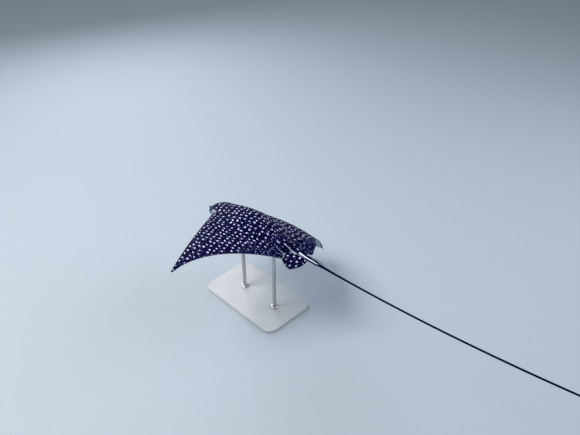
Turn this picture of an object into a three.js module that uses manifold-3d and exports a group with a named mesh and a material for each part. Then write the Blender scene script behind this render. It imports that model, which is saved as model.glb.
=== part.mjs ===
// Spotted eagle ray, life size, gliding in a right bank above a plain display stand.
// Millimetres, +Z up, +Y ahead of the ray, +X to its right. The origin is the middle of the
// stand's underside.
//
// The body is described on a flat map: s runs out from the midline, a runs back from the snout
// tip, and h is the height off the map. All three are fractions of the disc width. The map is
// then bent down towards each wing tip, banked, and lifted onto the stand.
import * as THREE from 'three';
import { mergeVertices } from 'three/addons/utils/BufferGeometryUtils.js';
import Module from 'manifold-3d';

const wasm = await Module();
wasm.setup();

// Driving dimensions, in millimetres and radians.
const discWidth = 1400;
const seamGap = 0.3;
const bodyHeight = 570;
const bankAngle = 0.3534;
const middleStation = 0.3;
const rodDiameter = 24;
const rodStations = [0.215, 0.42];
const baseSize = { length: 640, width: 380, thickness: 22, corner: 60, bevel: 3 };

// Body proportions, as fractions of the disc width.
const halfSeam = seamGap / 2 / discWidth;
const rimHalfThickness = 0.0011;
const headFront = 0.046;
const headRound = 0.037;
const pectoralOrigin = 0.114;
const pectoralInsertion = 0.505;
const wingRows = 18;
const headRows = 4;
const trunkEnd = 0.575;
const tipHalfChord = 0.004;
const snoutFront = 0.006;
const snoutEnd = 0.082;
const eye = { s: 0.061, a: 0.0855, h: 0.005, radius: 0.0098 };
const pelvic = {
  hingeOut: 0.03,
  hingeHeight: -0.006,
  left: { droop: 0.52, back: 0 },
  right: { droop: 0.64, back: 0.013 },
};
const dorsalFin = { from: 0.008, to: 0.036, height: 0.012, halfThickness: 0.0018 };
const tailLength = 1.9;
const tailBend = { right: [0.0044, 0.05], up: [0.0085, 0.002, 0.0367] };
const tailCuts = { tail_base: -0.004, tail_front: 0.14, tail_middle: 0.55, tail_rear: 1.0, tail_tip: 1.45 };
const stings = {
  sting_upper: { from: 0.045, length: 0.074, lift: 0.0125, rise: 0.045 },
  sting_lower: { from: 0.066, length: 0.07, lift: 0.0088, rise: 0.03 },
};
const stingHalfWidth = 0.0028;
const stingHalfThickness = 0.0011;

// How far each wing is bent down: the slope at u, from 0 near the body to 1 at the tip, is
// c0 u + c1 u^2 + c2 u^3 along the leading and the trailing edge.
const bendStart = 0.05;
const droop = {
  left: { lead: [0.124, 0.4007, 0.0056], trail: [-0.0753, 0.6769, 0.0334], curl: 0 },
  right: { lead: [0.4457, 0.6153, -0.3871], trail: [0.2799, 0.8105, -0.3408], curl: 0.5456 },
};
// Beyond this distance out, a wing's leading edge dips by the curl and flicks up again.
const curlStart = 0.405;
// The right wing's free rear tip is tucked in, forward and down, and its edge beside that tip
// reaches further back.
const rearTuck = { inward: 0.012, forward: 0.003, down: 0.013 };
const rearReach = 0.016;

// Wing edges on the map.
const leadCurve = new THREE.CubicBezierCurve(
  new THREE.Vector2(0.079, pectoralOrigin),
  new THREE.Vector2(0.21, 0.204),
  new THREE.Vector2(0.37, 0.304),
  new THREE.Vector2(0.5, 0.3742 - tipHalfChord),
);
const trailCurve = new THREE.CubicBezierCurve(
  new THREE.Vector2(0.105, 0.568),
  new THREE.Vector2(0.19, 0.4671),
  new THREE.Vector2(0.42, 0.3714),
  new THREE.Vector2(0.5, 0.3742 + tipHalfChord),
);
const innerMargin = new THREE.CubicBezierCurve(
  new THREE.Vector2(0.046, pectoralInsertion),
  new THREE.Vector2(0.056, 0.535),
  new THREE.Vector2(0.082, 0.584),
  new THREE.Vector2(0.105, 0.568),
);
const innerShare = 0.09;

const mix = THREE.MathUtils.lerp;
const clamp = THREE.MathUtils.clamp;

// A smooth function through a few [station, value] pairs, flat past both ends.
function profile(pairs) {
  const slope = (i) => {
    const before = pairs[Math.max(i - 1, 0)];
    const after = pairs[Math.min(i + 1, pairs.length - 1)];
    return (after[1] - before[1]) / (after[0] - before[0]);
  };
  return (at) => {
    const x = clamp(at, pairs[0][0], pairs[pairs.length - 1][0]);
    const i = Math.max(pairs.findIndex((pair) => pair[0] >= x) - 1, 0);
    const span = pairs[i + 1][0] - pairs[i][0];
    const t = (x - pairs[i][0]) / span;
    const start = (1 + 2 * t) * (1 - t) ** 2 * pairs[i][1] + t * (1 - t) ** 2 * span * slope(i);
    const end = t * t * (3 - 2 * t) * pairs[i + 1][1] + t * t * (t - 1) * span * slope(i + 1);
    return start + end;
  };
}

// Side, back and belly of the head and trunk, by station. The dome is the raised body between
// the wings: domeSide is where it meets the wing, and domePower rounds it (0.5 is an ellipse).
const sideProfile = profile([[0.05, 0.062], [0.083, 0.0695], [0.114, 0.079], [0.16, 0.084],
  [0.22, 0.092], [0.3, 0.098], [0.4, 0.085], [0.47, 0.062], [0.505, 0.046], [0.54, 0.026],
  [0.575, 0.0155]]);
const backProfile = profile([[0.06, 0.033], [0.083, 0.035], [0.12, 0.039], [0.2, 0.055],
  [0.27, 0.063], [0.35, 0.057], [0.45, 0.037], [0.52, 0.022], [0.575, 0.0145]]);
const bellyProfile = profile([[0.06, 0.033], [0.095, 0.04], [0.13, 0.0415], [0.2, 0.045],
  [0.28, 0.049], [0.38, 0.044], [0.47, 0.03], [0.52, 0.0195], [0.575, 0.0125]]);
const domeSide = profile([[0.114, 0.079], [0.16, 0.096], [0.22, 0.14], [0.28, 0.172],
  [0.38, 0.155], [0.46, 0.088], [0.505, 0.046]]);
const domePower = profile([[0.114, 0.42], [0.16, 0.62], [0.22, 1.1], [0.28, 1.4],
  [0.38, 1.4], [0.46, 0.9], [0.505, 0.5]]);
const wingHalfThickness = (s) => 0.0012 + 0.03 * Math.max(1 - s / 0.5, 0) ** 1.3;

// Elliptical rounding of the forehead, 1 from the end of the round backwards.
function frontRound(a) {
  const t = clamp((headFront + headRound - a) / headRound, 0, 1);
  return Math.sqrt(Math.max(1 - t * t, 0));
}

// The middle of the body's height droops towards the mouth and rises towards the tail.
function midHeight(s, a) {
  const ahead = Math.max((0.12 - a) / 0.12, 0);
  const behind = THREE.MathUtils.smoothstep(a, 0.42, trunkEnd);
  const near = 1 - THREE.MathUtils.smoothstep(s, 0.03, 0.1);
  return -0.02 * ahead ** 1.5 + tailBend.up[0] * behind * near;
}
const bodySide = (a) => sideProfile(a) * frontRound(a);

// Leading and trailing station at a distance out, read from points along the wing edges.
function stationAlong(curve) {
  const points = curve.getPoints(80);
  return (s) => {
    const i = clamp(points.findIndex((point) => point.x >= s), 1, points.length - 1);
    const from = points[i - 1];
    const to = points[i];
    return mix(from.y, to.y, clamp((s - from.x) / (to.x - from.x), 0, 1));
  };
}
const leadStation = stationAlong(leadCurve);
const trailStation = stationAlong(trailCurve);

// Place of a point between the leading edge, 0, and the trailing edge, 1.
function chordShare(s, a) {
  return clamp((a - leadStation(s)) / (trailStation(s) - leadStation(s)), 0, 1);
}

// Half height of the body over the map, above it for the back and below it for the belly.
function halfHeight(s, a, isBack) {
  const height = (isBack ? backProfile(a) : bellyProfile(a)) * frontRound(a);
  const joined = a > pectoralOrigin && a < pectoralInsertion;
  const reach = joined ? domeSide(a) : bodySide(a);
  const power = joined ? domePower(a) : 0.45;
  const dome = height * Math.max(1 - (s / Math.max(reach, 1e-6)) ** 2, 0) ** power;
  const c = chordShare(s, a);
  const section = (Math.sqrt(c) * (1 - c) ** 1.1) / 0.37;
  const sheet = joined ? wingHalfThickness(s) * section * (isBack ? 1 : 0.8) : 0;
  return Math.max((dome ** 2.5 + sheet ** 2.5) ** 0.4, rimHalfThickness);
}

// The bent line across a wing: sideways place, height and slope at a distance out.
function bentLine(slopes, curl) {
  const steps = 90;
  const line = [{ x: 0, z: 0, slope: 0 }];
  for (let i = 1; i <= steps; i += 1) {
    const last = line[i - 1];
    const out = (i * 0.5) / steps;
    const u = clamp((out - bendStart) / (0.5 - bendStart), 0, 1);
    const flick = Math.sin(2 * Math.PI * clamp((out - curlStart) / (0.5 - curlStart), 0, 1));
    const slope = slopes[0] * u + slopes[1] * u * u + slopes[2] * u * u * u + curl * flick;
    const middle = (last.slope + slope) / 2;
    const step = 0.5 / steps;
    line.push({ x: last.x + Math.cos(middle) * step, z: last.z - Math.sin(middle) * step, slope });
  }
  return (s) => {
    const place = clamp((s / 0.5) * steps, 0, steps);
    const i = Math.min(Math.floor(place), steps - 1);
    const t = place - i;
    return {
      x: mix(line[i].x, line[i + 1].x, t),
      z: mix(line[i].z, line[i + 1].z, t),
      slope: mix(line[i].slope, line[i + 1].slope, t),
    };
  };
}
const bentLines = {
  left: { lead: bentLine(droop.left.lead, droop.left.curl), trail: bentLine(droop.left.trail, 0) },
  right: { lead: bentLine(droop.right.lead, droop.right.curl), trail: bentLine(droop.right.trail, 0) },
};

// How much of the tuck a point takes: all of it at the right free rear tip.
function tuckShare(s, a) {
  const { smoothstep } = THREE.MathUtils;
  return s > 0 ? smoothstep(a, 0.43, 0.545) * smoothstep(s, 0.03, 0.08) * (1 - smoothstep(s, 0.1, 0.18)) : 0;
}

// How much of the further reach a point takes: all of it on the right rear edge.
function reachShare(s, a) {
  const { smoothstep } = THREE.MathUtils;
  return s > 0 ? smoothstep(a, 0.38, 0.49) * smoothstep(s, 0.08, 0.13) * (1 - smoothstep(s, 0.18, 0.27)) : 0;
}

// From the map, with s negative on the left, to millimetres in the ray's own level frame.
function place(s, a, h) {
  const side = s < 0 ? 'left' : 'right';
  const sign = s < 0 ? -1 : 1;
  const out = Math.abs(s);
  const twist = chordShare(out, a) * (1 - THREE.MathUtils.smoothstep(out, 0.46, 0.5));
  const lead = bentLines[side].lead(out);
  const trail = bentLines[side].trail(out);
  const slope = mix(lead.slope, trail.slope, twist);
  const tuck = tuckShare(s, a);
  const x = mix(lead.x, trail.x, twist) + h * Math.sin(slope) - rearTuck.inward * tuck;
  const z = mix(lead.z, trail.z, twist) + h * Math.cos(slope) - rearTuck.down * tuck;
  const y = middleStation - a + rearTuck.forward * tuck - rearReach * reachShare(s, a);
  return new THREE.Vector3(sign * x, y, z).multiplyScalar(discWidth);
}

// A closed slab: a box whose grid of columns and rows is moved by shape(x, v, top), with x from
// -1 on the left to 1 on the right, and v from 0 at the front to 1 at the back.
function slab(columns, rows, shape) {
  const geometry = new THREE.BoxGeometry(1, 1, 1, columns, rows, 1);
  const position = geometry.attributes.position;
  for (let i = 0; i < position.count; i += 1) {
    const point = shape(position.getX(i) * 2, 0.5 - position.getY(i), position.getZ(i) > 0);
    position.setXYZ(i, point.x, point.y, point.z);
  }
  return geometry;
}

// A solid for cutting, and the geometry of a cut solid.
function toSolid(geometry) {
  const bare = geometry.clone();
  bare.deleteAttribute('normal');
  bare.deleteAttribute('uv');
  const merged = mergeVertices(bare, 1e-4);
  return new wasm.Manifold(new wasm.Mesh({
    numProp: 3,
    vertProperties: new Float32Array(merged.attributes.position.array),
    triVerts: new Uint32Array(merged.index.array),
  }));
}

// The largest piece that is left keeps the name, and slivers beyond the cutters are dropped.
function cut(geometry, ...cutters) {
  const rest = cutters.reduce((solid, cutter) => solid.subtract(toSolid(cutter)), toSolid(geometry));
  const pieces = rest.decompose().sort((one, other) => other.volume() - one.volume());
  const mesh = pieces[0].getMesh();
  const result = new THREE.BufferGeometry();
  result.setAttribute('position', new THREE.BufferAttribute(mesh.vertProperties, 3));
  result.setIndex(new THREE.BufferAttribute(mesh.triVerts, 1));
  return result;
}

// Stations of the wing root, shared by the wing and the body beside it, so that both follow the
// same line on either side of the seam.
const rootStation = (row) => mix(pectoralOrigin, pectoralInsertion, row / wingRows);

// Head and trunk share one shape between two rows of stations. A grown copy cuts a neighbour.
function bodyLength(stations, columns, grow = 0) {
  const extra = grow / discWidth;
  const rows = stations.length - 1;
  return slab(columns, rows, (x, v, top) => {
    const row = Math.round(v * rows);
    const a = stations[row];
    const atWing = a >= pectoralOrigin && a <= pectoralInsertion;
    const reach = bodySide(a) - (atWing ? halfSeam : 0);
    const s = Math.sin((x * Math.PI) / 2) * reach;
    const h = halfHeight(Math.abs(s), a, top) + extra;
    const end = row === 0 ? -extra : row === rows ? extra : 0;
    const wide = reach > 0 ? s * (1 + extra / reach) : s;
    return place(wide, a + end, midHeight(Math.abs(s), a) + (top ? h : -h));
  });
}

function headStations() {
  const stations = [];
  const frontRows = 8;
  for (let i = 0; i < frontRows; i += 1) {
    const t = 1 - Math.cos((i / frontRows) * Math.PI * 0.5);
    stations.push(mix(headFront + 0.0004, pectoralOrigin, t));
  }
  for (let row = 0; row <= headRows; row += 1) {
    stations.push(rootStation(row) - (row === headRows ? halfSeam : 0));
  }
  return stations;
}

function trunkStations() {
  const stations = [];
  for (let row = headRows; row <= wingRows; row += 1) {
    stations.push(rootStation(row) + (row === headRows ? halfSeam : 0));
  }
  const rearRows = 5;
  for (let i = 1; i <= rearRows; i += 1) {
    stations.push(mix(pectoralInsertion, trunkEnd, i / rearRows));
  }
  return stations;
}

// A wing from its root line out to the tip. Its columns crowd towards the root, where the
// shoulder rises.
function wing(sign) {
  const columns = 18;
  return slab(columns, wingRows, (x, v, top) => {
    const share = (1 + sign * x) / 2;
    const u = share ** 1.25;
    const rootA = rootStation(v * wingRows);
    const lead = leadCurve.getPoint(u);
    const trail = u < innerShare
      ? innerMargin.getPoint(u / innerShare)
      : trailCurve.getPoint((u - innerShare) / (1 - innerShare));
    const rootBulge = bodySide(rootA) - mix(bodySide(pectoralOrigin), bodySide(pectoralInsertion), v);
    const s = mix(lead.x, trail.x, v) + rootBulge * (1 - u) ** 4 + (share === 0 ? halfSeam : 0);
    const a = share === 0 ? rootA : mix(lead.y, trail.y, v);
    const h = halfHeight(s, a, top);
    return place(sign * s, a, midHeight(s, a) + (top ? h : -h));
  });
}

// The flat lobe in front of the forehead, like a duck's bill.
function snout() {
  return slab(10, 8, (x, v, top) => {
    const back = mix(0, snoutEnd - snoutFront, v * v * 0.6 + v * 0.4);
    const a = snoutFront + back;
    const reach = 0.048 * Math.sin((clamp((back + 0.001) / 0.05, 0, 1) * Math.PI) / 2) ** 0.6;
    const s = Math.sin((x * Math.PI) / 2) * reach;
    const fullness = 0.0085 * Math.sqrt(1 - 0.97 * x * x);
    const h = Math.max(fullness * Math.sqrt(clamp(back / 0.02 + 0.05, 0, 1)), 0.0015);
    const mid = -0.012 - 0.01 * (1 - a / snoutEnd);
    return place(s, a, mid + (top ? h : -h));
  });
}

function eyeball(sign, grow = 0) {
  const geometry = new THREE.SphereGeometry(eye.radius * discWidth + grow, 14, 10);
  const centre = place(sign * eye.s, eye.a, eye.h);
  geometry.translate(centre.x, centre.y, centre.z);
  return geometry;
}

// A pelvic fin: a round-cornered blade hinged beside the tail root and drooping outwards.
function pelvicFin(sign) {
  const front = new THREE.CubicBezierCurve(
    new THREE.Vector2(0.012, 0.498),
    new THREE.Vector2(0.055, 0.505),
    new THREE.Vector2(0.078, 0.55),
    new THREE.Vector2(0.087, 0.59),
  );
  const rear = new THREE.CubicBezierCurve(
    new THREE.Vector2(0.012, 0.63),
    new THREE.Vector2(0.034, 0.638),
    new THREE.Vector2(0.066, 0.627),
    new THREE.Vector2(0.088, 0.602),
  );
  const { droop, back } = sign < 0 ? pelvic.left : pelvic.right;
  return slab(8, 8, (x, v, top) => {
    const u = (1 + sign * x) / 2;
    const from = front.getPoint(u);
    const to = rear.getPoint(u);
    const out = mix(from.x, to.x, v);
    const section = Math.sqrt(v) * (1 - v) * 2.6;
    const h = rimHalfThickness * 0.8 + 0.0062 * section * (1 - 0.75 * u);
    const away = out - pelvic.hingeOut;
    const lift = top ? h : -h;
    const point = new THREE.Vector3(
      sign * (pelvic.hingeOut + away * Math.cos(droop) + lift * Math.sin(droop)),
      middleStation - back - mix(from.y, to.y, v),
      pelvic.hingeHeight - away * Math.sin(droop) + lift * Math.cos(droop),
    );
    return point.multiplyScalar(discWidth);
  });
}

// The tail's midline, by the distance behind the trunk, and its half width there.
const tailSideways = (w) => tailBend.right[0] * w + tailBend.right[1] * w * w;
const tailHeight = (w) => tailBend.up[0] + tailBend.up[1] * w + tailBend.up[2] * w * w;
const tailHalfWidth = profile([[0, 0.0152], [0.04, 0.0115], [0.09, 0.0072], [0.15, 0.0048],
  [0.3, 0.0039], [1.2, 0.0034], [1.9, 0.0012]]);

function tailFrame(w) {
  const step = 0.002;
  const at = (q) => new THREE.Vector3(tailSideways(q), middleStation - trunkEnd - q, tailHeight(q));
  const centre = at(w);
  const back = at(w + step).sub(at(w - step)).normalize();
  const right = new THREE.Vector3(0, 0, 1).cross(back).normalize();
  const up = back.clone().cross(right);
  return { centre, back, right, up };
}

// A length of the tail: a cylinder whose rings follow the midline.
function tailPiece(from, to, grow = 0) {
  const start = from + 2 * halfSeam;
  const sides = 10;
  const rings = clamp(Math.round((to - from) / 0.045), 5, 10);
  const geometry = new THREE.CylinderGeometry(1, 1, 1, sides, rings);
  const position = geometry.attributes.position;
  for (let i = 0; i < position.count; i += 1) {
    const w = mix(start - grow / discWidth, to + grow / discWidth, 0.5 - position.getY(i));
    const frame = tailFrame(w);
    const radius = tailHalfWidth(w) + grow / discWidth;
    const tall = mix(0.87, 1, clamp(w / 0.1, 0, 1));
    const point = frame.centre.clone()
      .addScaledVector(frame.right, position.getX(i) * radius)
      .addScaledVector(frame.up, position.getZ(i) * radius * tall)
      .multiplyScalar(discWidth);
    position.setXYZ(i, point.x, point.y, point.z);
  }
  return geometry;
}

// The small low fin on the tail root, swept back, with its foot inside the tail.
function backFin() {
  return slab(2, 6, (x, v, top) => {
    const along = top ? mix(0.55, 1, v) : v;
    const frame = tailFrame(mix(dorsalFin.from, dorsalFin.to, along));
    const rootHeight = tailHalfWidth(dorsalFin.from) * 0.4;
    const arch = dorsalFin.height * (0.75 + 0.25 * Math.sin(Math.PI * clamp(v, 0, 1)));
    const thin = dorsalFin.halfThickness * (0.45 + 0.55 * Math.sin(Math.PI * v)) * (top ? 0.6 : 1);
    return frame.centre.clone()
      .addScaledVector(frame.right, x * thin)
      .addScaledVector(frame.up, top ? rootHeight + arch : rootHeight)
      .multiplyScalar(discWidth);
  });
}

// A tail sting: a flat dagger lying along the top of the tail.
function sting({ from, length, lift, rise }) {
  return slab(2, 8, (x, v, top) => {
    const frame = tailFrame(from);
    const taper = Math.sqrt(1 - v * 0.96);
    const reach = v * length;
    const flat = stingHalfThickness * taper * (1 - 0.45 * Math.abs(x));
    return frame.centre.clone()
      .addScaledVector(frame.back, reach)
      .addScaledVector(frame.right, x * stingHalfWidth * taper)
      .addScaledVector(frame.up, lift + reach * rise + (top ? flat : -flat))
      .multiplyScalar(discWidth);
  });
}

// The stand: a flat round-cornered base and two upright rods.
function standBase() {
  const { length, width, thickness, corner, bevel } = baseSize;
  const shape = new THREE.Shape();
  const halfX = width / 2 - bevel;
  const halfY = length / 2 - bevel;
  const radius = corner - bevel;
  shape.absarc(halfX - radius, halfY - radius, radius, 0, Math.PI / 2);
  shape.absarc(radius - halfX, halfY - radius, radius, Math.PI / 2, Math.PI);
  shape.absarc(radius - halfX, radius - halfY, radius, Math.PI, Math.PI * 1.5);
  shape.absarc(halfX - radius, radius - halfY, radius, Math.PI * 1.5, Math.PI * 2);
  const geometry = new THREE.ExtrudeGeometry(shape, {
    depth: thickness - 2 * bevel,
    bevelThickness: bevel,
    bevelSize: bevel,
    bevelSegments: 1,
    curveSegments: 6,
  });
  geometry.translate(0, 0, bevel);
  return geometry;
}

function standRod(station) {
  const foot = baseSize.thickness + seamGap;
  const length = bodyHeight - foot;
  const geometry = new THREE.CylinderGeometry(rodDiameter / 2, rodDiameter / 2, length, 24);
  geometry.rotateX(Math.PI / 2);
  geometry.translate(0, (middleStation - station) * discWidth, foot + length / 2);
  return geometry;
}

const colours = {
  back: { color: 0x1b1f33, roughness: 0.35, metalness: 0 },
  snout: { color: 0x4b4a58, roughness: 0.4, metalness: 0 },
  tail: { color: 0x15161d, roughness: 0.5, metalness: 0 },
  eye: { color: 0x0a0a0c, roughness: 0.08, metalness: 0 },
  sting: { color: 0x8a7d68, roughness: 0.55, metalness: 0 },
  stand: { color: 0xb9bcc0, roughness: 0.35, metalness: 0.8 },
  base: { color: 0xd9d9d6, roughness: 0.6, metalness: 0 },
};

function named(name, geometry, look) {
  const mesh = new THREE.Mesh(geometry, new THREE.MeshStandardMaterial(look));
  mesh.name = name;
  return mesh;
}

const body = new THREE.Group();
body.rotation.y = bankAngle;
body.position.z = bodyHeight;

const eyes = { eye_left: -1, eye_right: 1 };
const headCopy = bodyLength(headStations(), 14, seamGap);
const trunkCopy = bodyLength(trunkStations(), 14, seamGap);
const tailBaseCopy = tailPiece(tailCuts.tail_base, tailCuts.tail_front, seamGap);
const sockets = Object.values(eyes).map((sign) => eyeball(sign, seamGap));

body.add(named('head', cut(bodyLength(headStations(), 14), ...sockets), colours.back));
body.add(named('snout', cut(snout(), headCopy), colours.snout));
body.add(named('trunk', bodyLength(trunkStations(), 14), colours.back));
body.add(named('wing_left', wing(-1), colours.back));
body.add(named('wing_right', wing(1), colours.back));
for (const [name, sign] of Object.entries(eyes)) {
  body.add(named(name, eyeball(sign), colours.eye));
}
for (const [name, sign] of Object.entries({ pelvic_fin_left: -1, pelvic_fin_right: 1 })) {
  body.add(named(name, cut(pelvicFin(sign), trunkCopy, tailBaseCopy), colours.back));
}
body.add(named('dorsal_fin', cut(backFin(), tailBaseCopy), colours.back));

const tailNames = Object.keys(tailCuts);
tailNames.forEach((name, i) => {
  const end = i + 1 < tailNames.length ? tailCuts[tailNames[i + 1]] : tailLength;
  const piece = tailPiece(tailCuts[name], end);
  body.add(named(name, i === 0 ? cut(piece, trunkCopy) : piece, colours.tail));
});
for (const [name, size] of Object.entries(stings)) {
  body.add(named(name, cut(sting(size), tailBaseCopy), colours.sting));
}

const model = new THREE.Group();
model.add(body);
model.add(named('stand_base', standBase(), colours.base));
body.updateMatrixWorld(true);
const bellyCopy = [headCopy, trunkCopy].map((copy) => copy.clone().applyMatrix4(body.matrixWorld));
const rods = { stand_rod_front: rodStations[0], stand_rod_rear: rodStations[1] };
for (const [name, station] of Object.entries(rods)) {
  model.add(named(name, cut(standRod(station), ...bellyCopy), colours.stand));
}

export default model;
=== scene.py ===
import math
import bmesh
import bpy
import numpy as np
from mathutils import Matrix, Vector
from mathutils.kdtree import KDTree


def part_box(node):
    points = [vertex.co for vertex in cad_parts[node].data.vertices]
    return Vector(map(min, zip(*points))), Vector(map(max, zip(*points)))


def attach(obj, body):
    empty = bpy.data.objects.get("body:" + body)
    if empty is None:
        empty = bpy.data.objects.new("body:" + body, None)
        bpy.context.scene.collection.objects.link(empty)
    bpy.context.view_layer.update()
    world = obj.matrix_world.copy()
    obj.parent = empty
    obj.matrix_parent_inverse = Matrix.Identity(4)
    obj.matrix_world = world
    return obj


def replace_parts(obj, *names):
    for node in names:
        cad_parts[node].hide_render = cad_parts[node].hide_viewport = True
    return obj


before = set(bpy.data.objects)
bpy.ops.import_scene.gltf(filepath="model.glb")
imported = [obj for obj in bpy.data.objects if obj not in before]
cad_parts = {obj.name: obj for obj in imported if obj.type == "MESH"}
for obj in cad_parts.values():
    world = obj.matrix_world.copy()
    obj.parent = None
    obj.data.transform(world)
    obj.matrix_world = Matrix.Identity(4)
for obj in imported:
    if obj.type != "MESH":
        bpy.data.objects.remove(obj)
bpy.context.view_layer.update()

print("frame loaded")

# The ray is described on a flat map: s out from the midline, a back from the snout tip and h
# off the map, all as fractions of the disc width. place() bends, banks and lifts it.
ray = {
    "width": 1.4, "lift": 0.57, "bank": 0.3534, "middle": 0.3, "bendStart": 0.05,
    "origin": 0.114, "insertion": 0.505, "trunkEnd": 0.575,
    "headFront": 0.046, "headRound": 0.037, "snoutFront": 0.006, "snoutEnd": 0.082,
    "bend": {
        -1: {"lead": (0.124, 0.4007, 0.0056, 0), "trail": (-0.0753, 0.6769, 0.0334, 0)},
        1: {"lead": (0.4457, 0.6153, -0.3871, 0.5456), "trail": (0.2799, 0.8105, -0.3408, 0)},
    },
    "curlStart": 0.405, "untwist": (0.46, 0.5),
    "tuck": {"inward": 0.012, "forward": 0.003, "down": 0.013, "rows": (0.43, 0.545),
             "out": (0.03, 0.08, 0.1, 0.18)},
    "fill": {"back": 0.016, "rows": (0.38, 0.49), "out": (0.08, 0.13, 0.18, 0.27)},
    "blade": {"thin": 0.0012, "thick": 0.03, "taper": 1.3, "rear": 1.1, "peak": 0.37, "under": 0.8},
    "headDrop": 0.02, "headDropEnd": 0.12, "headPower": 0.45,
    "rise": 0.0085, "riseFrom": 0.42, "riseOut": (0.03, 0.1),
    "snout": {"half": 0.048, "thick": 0.0085, "blunt": 0.02, "lengthens": 0.05, "ends": 0.11,
              "drop": (0.012, 0.01), "meetsHead": (0.052, 0.085), "narrows": (0.06, 0.11),
              "fades": (0.07, 0.105)},
    "side": [(0.05, 0.062), (0.083, 0.0695), (0.114, 0.079), (0.16, 0.084), (0.22, 0.092),
             (0.3, 0.098), (0.4, 0.085), (0.47, 0.062), (0.505, 0.046), (0.54, 0.026),
             (0.575, 0.0155)],
    "back": [(0.06, 0.033), (0.083, 0.035), (0.12, 0.039), (0.2, 0.055), (0.27, 0.063),
             (0.35, 0.057), (0.45, 0.037), (0.52, 0.022), (0.575, 0.0145)],
    "belly": [(0.06, 0.033), (0.095, 0.04), (0.13, 0.0415), (0.2, 0.045), (0.28, 0.049),
              (0.38, 0.044), (0.47, 0.03), (0.52, 0.0195), (0.575, 0.0125)],
    "domeSide": [(0.114, 0.079), (0.16, 0.096), (0.22, 0.14), (0.28, 0.172), (0.38, 0.155),
                 (0.46, 0.088), (0.505, 0.046)],
    "domePower": [(0.114, 0.42), (0.16, 0.62), (0.22, 1.1), (0.28, 1.4), (0.38, 1.4),
                  (0.46, 0.9), (0.505, 0.5)],
    "lead": [(0.079, 0.114), (0.21, 0.204), (0.37, 0.304), (0.5, 0.3702)],
    "trail": [(0.105, 0.568), (0.19, 0.4671), (0.42, 0.3714), (0.5, 0.3782)],
    "inner": [(0.046, 0.505), (0.056, 0.535), (0.082, 0.584), (0.105, 0.568)],
    "innerShare": 0.09,
    # ringed spots: from which row, sooner towards the midline, and how far out
    "ringRows": (0.4, 0.5), "ringSooner": (0.35, 0.2), "ringOut": (0.26, 0.36),
}
width = ray["width"]


def mix(a, b, t):
    return a + (b - a) * t


def smooth(low, high, x):
    t = np.clip((x - low) / (high - low), 0, 1)
    return t * t * (3 - 2 * t)


def bump(x, size):
    return np.exp(-(x / size) ** 2)


def rounded(x):
    # rises from 0 to 1 like the side of an arc
    return np.sqrt(np.clip(x, 0, 1))


def window(x, low, full, fade, gone):
    # up from low to full, level, then down from fade to gone
    return smooth(low, full, x) * (1 - smooth(fade, gone, x))


def profile(pairs):
    # a smooth curve through a few pairs, flat past both ends
    x, y = np.array(pairs, float).T
    slope = np.gradient(y, x)
    slope[1:-1] = (y[2:] - y[:-2]) / (x[2:] - x[:-2])

    def at(value):
        v = np.clip(value, x[0], x[-1])
        i = np.clip(np.searchsorted(x, v) - 1, 0, len(x) - 2)
        span = x[i + 1] - x[i]
        t = (v - x[i]) / span
        start = (1 + 2 * t) * (1 - t) ** 2 * y[i] + t * (1 - t) ** 2 * span * slope[i]
        end = t * t * (3 - 2 * t) * y[i + 1] + t * t * (t - 1) * span * slope[i + 1]
        return start + end
    return at


def bezier(points, t):
    p = np.array(points, float)
    t = np.asarray(t, float)[..., None]
    return ((1 - t) ** 3 * p[0] + 3 * t * (1 - t) ** 2 * p[1]
            + 3 * t * t * (1 - t) * p[2] + t ** 3 * p[3])


sideAt, backAt, bellyAt = profile(ray["side"]), profile(ray["back"]), profile(ray["belly"])
domeSideAt, domePowerAt = profile(ray["domeSide"]), profile(ray["domePower"])
leadLine = bezier(ray["lead"], np.linspace(0, 1, 90))
trailLine = np.vstack([bezier(ray["inner"], np.linspace(0, 1, 40))[:-1],
                       bezier(ray["trail"], np.linspace(0, 1, 90))])


def chordShare(s, a):
    lead = np.interp(s, leadLine[:, 0], leadLine[:, 1])
    trail = np.interp(s, trailLine[:, 0], trailLine[:, 1])
    return np.clip((a - lead) / (trail - lead), 0, 1)


def frontRound(a):
    t = np.clip((ray["headFront"] + ray["headRound"] - a) / ray["headRound"], 0, 1)
    return np.sqrt(np.maximum(1 - t * t, 0))


def snoutSide(a):
    snout = ray["snout"]
    grow = np.sin(np.clip((a - ray["snoutFront"]) / snout["lengthens"], 0, 1) * math.pi / 2) ** 0.6
    return snout["half"] * grow * (1 - 0.6 * smooth(*snout["narrows"], a))


def widestSide(a):
    return sideAt(a) * frontRound(a), snoutSide(a) * (a < ray["snout"]["ends"])


def bodySide(a):
    head, lobe = widestSide(a)
    return (head ** 8 + lobe ** 8) ** 0.125


def outlineGrow(a):
    # how much wider the joined outline is than the wider of head and snout
    return bodySide(a) / np.maximum(np.maximum(*widestSide(a)), 1e-6)


def headMiddle(a):
    # the middle of the head drops towards the snout
    end = ray["headDropEnd"]
    return -ray["headDrop"] * np.maximum((end - a) / end, 0) ** 1.5


def midHeight(s, a):
    snout = ray["snout"]
    lobe = -snout["drop"][0] - snout["drop"][1] * (1 - a / ray["snoutEnd"])
    front = mix(lobe, headMiddle(a), smooth(*snout["meetsHead"], a))
    rise = smooth(ray["riseFrom"], ray["trunkEnd"], a) * (1 - smooth(*ray["riseOut"], s))
    return front + ray["rise"] * rise


def join(one, other, sharpness=2.5):
    # the smooth upper hull of two heights
    return (np.maximum(one, 0) ** sharpness + np.maximum(other, 0) ** sharpness) ** (1 / sharpness)


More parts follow.
